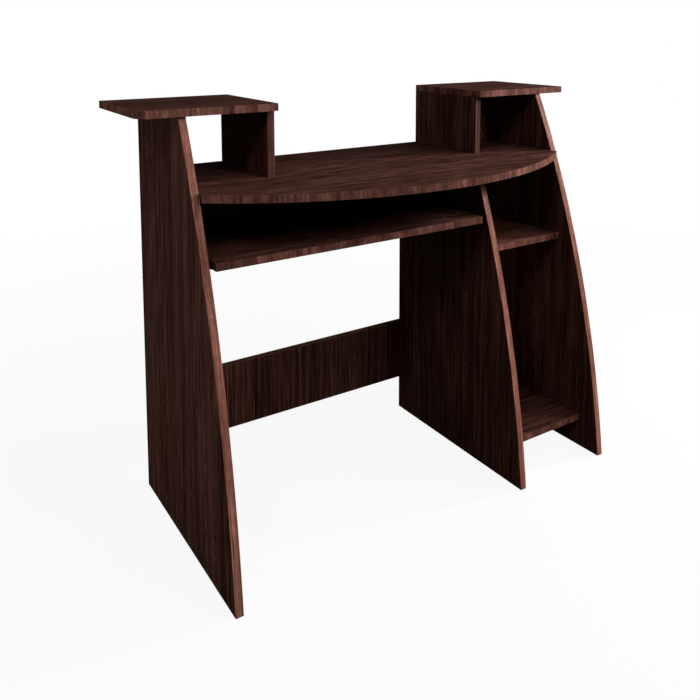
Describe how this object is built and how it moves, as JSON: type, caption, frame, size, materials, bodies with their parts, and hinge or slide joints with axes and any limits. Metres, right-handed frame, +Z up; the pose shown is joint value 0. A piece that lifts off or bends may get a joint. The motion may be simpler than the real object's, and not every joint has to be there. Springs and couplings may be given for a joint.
{
  "type": "computer desk",
  "caption": "Dark wood-grain computer desk with a bowed desktop, sliding keyboard tray on roller runners, side cabinet with shelves and a raised shelf at each end.",
  "frame": {"origin": "on the floor, under the middle of the whole desk's outline: its two riser tops overhang the side panels by different amounts, so the origin is 2.5 mm left of the middle between the side panels", "axes": "+Z up, +X to the right of the person who sits at the desk, +Y away from that person to the wall"},
  "size_m": [1.163, 0.5, 0.914],
  "materials": {
    "wenge_board": "dark wenge melamine on chipboard, satin, slightly pored",
    "wenge_edging": "printed wenge edging strip, satin, a little lighter and redder than the boards",
    "runner_paint": "black powder coat on rolled steel",
    "cast_zinc": "die-cast zinc, dull",
    "zinc_plated_steel": "zinc-plated steel",
    "white_nylon": "moulded nylon"
  },
  "bodies": {
    "desk_frame": {"left_side_panel": "wenge_board", "left_side_panel_edging": "wenge_edging", "right_side_panel": "wenge_board", "right_side_panel_edging": "wenge_edging", "divider_panel": "wenge_board", "divider_panel_edging": "wenge_edging", "desktop": "wenge_board", "desktop_edging": "wenge_edging", "left_riser_top": "wenge_board", "left_riser_top_edging": "wenge_edging", "left_riser_top_right_edging": "wenge_edging", "right_riser_top": "wenge_board", "right_riser_top_edging": "wenge_edging", "right_riser_top_left_edging": "wenge_edging", "right_riser_top_right_edging": "wenge_edging", "left_riser_upright": "wenge_board", "left_riser_upright_edging": "wenge_edging", "right_riser_upright": "wenge_board", "right_riser_upright_edging": "wenge_edging", "right_riser_back": "wenge_board", "middle_shelf": "wenge_board", "middle_shelf_edging": "wenge_edging", "bottom_shelf": "wenge_board", "bottom_shelf_edging": "wenge_edging", "upper_rear_rail": "wenge_board", "upper_rear_rail_bottom_edging": "wenge_edging", "lower_rear_rail": "wenge_board", "lower_rear_rail_bottom_edging": "wenge_edging", "lower_rear_rail_top_edging": "wenge_edging", "fixed_runner_left": "runner_paint", "fixed_runner_right": "runner_paint", "front_axle_left": "zinc_plated_steel", "front_axle_right": "zinc_plated_steel", "desktop_cam_1": "cast_zinc", "desktop_cam_2": "cast_zinc", "desktop_cam_3": "cast_zinc", "desktop_cam_4": "cast_zinc", "upper_rear_rail_cam_1": "cast_zinc", "upper_rear_rail_cam_2": "cast_zinc", "lower_rear_rail_cam_1": "cast_zinc", "lower_rear_rail_cam_2": "cast_zinc", "desktop_cam_bolt_1": "zinc_plated_steel", "desktop_cam_bolt_2": "zinc_plated_steel", "desktop_cam_bolt_3": "zinc_plated_steel", "desktop_cam_bolt_4": "zinc_plated_steel", "upper_rear_rail_cam_bolt_1": "zinc_plated_steel", "upper_rear_rail_cam_bolt_2": "zinc_plated_steel", "lower_rear_rail_cam_bolt_1": "zinc_plated_steel", "lower_rear_rail_cam_bolt_2": "zinc_plated_steel"},
    "keyboard_tray": {"keyboard_tray": "wenge_board", "keyboard_tray_edging": "wenge_edging", "moving_runner_left": "runner_paint", "moving_runner_right": "runner_paint", "rear_axle_left": "zinc_plated_steel", "rear_axle_right": "zinc_plated_steel"},
    "front_roller_left": {"front_roller_left": "white_nylon"},
    "front_roller_right": {"front_roller_right": "white_nylon"},
    "rear_roller_left": {"rear_roller_left": "white_nylon"},
    "rear_roller_right": {"rear_roller_right": "white_nylon"}
  },
  "joints": [
    {"name": "tray_slide", "type": "slide", "parent": "desk_frame", "child": "keyboard_tray", "axis": [0, -1, 0], "range_m": [0, 0.23]},
    {"name": "front_roller_left_turn", "type": "hinge", "parent": "desk_frame", "child": "front_roller_left", "pos_m": [-0.4789, -0.082, 0.6105], "axis": [1, 0, 0], "continuous": true},
    {"name": "front_roller_right_turn", "type": "hinge", "parent": "desk_frame", "child": "front_roller_right", "pos_m": [0.2179, -0.082, 0.6105], "axis": [1, 0, 0], "continuous": true},
    {"name": "rear_roller_left_turn", "type": "hinge", "parent": "keyboard_tray", "child": "rear_roller_left", "pos_m": [-0.4711, 0.1918, 0.6105], "axis": [1, 0, 0], "continuous": true},
    {"name": "rear_roller_right_turn", "type": "hinge", "parent": "keyboard_tray", "child": "rear_roller_right", "pos_m": [0.2101, 0.1918, 0.6105], "axis": [1, 0, 0], "continuous": true}
  ],
  "couplings": [
    {"joint": "front_roller_left_turn", "follows": "tray_slide", "rad_per_m": 111.11},
    {"joint": "front_roller_right_turn", "follows": "tray_slide", "rad_per_m": 111.11},
    {"joint": "rear_roller_left_turn", "follows": "tray_slide", "rad_per_m": 111.11},
    {"joint": "rear_roller_right_turn", "follows": "tray_slide", "rad_per_m": 111.11}
  ]
}
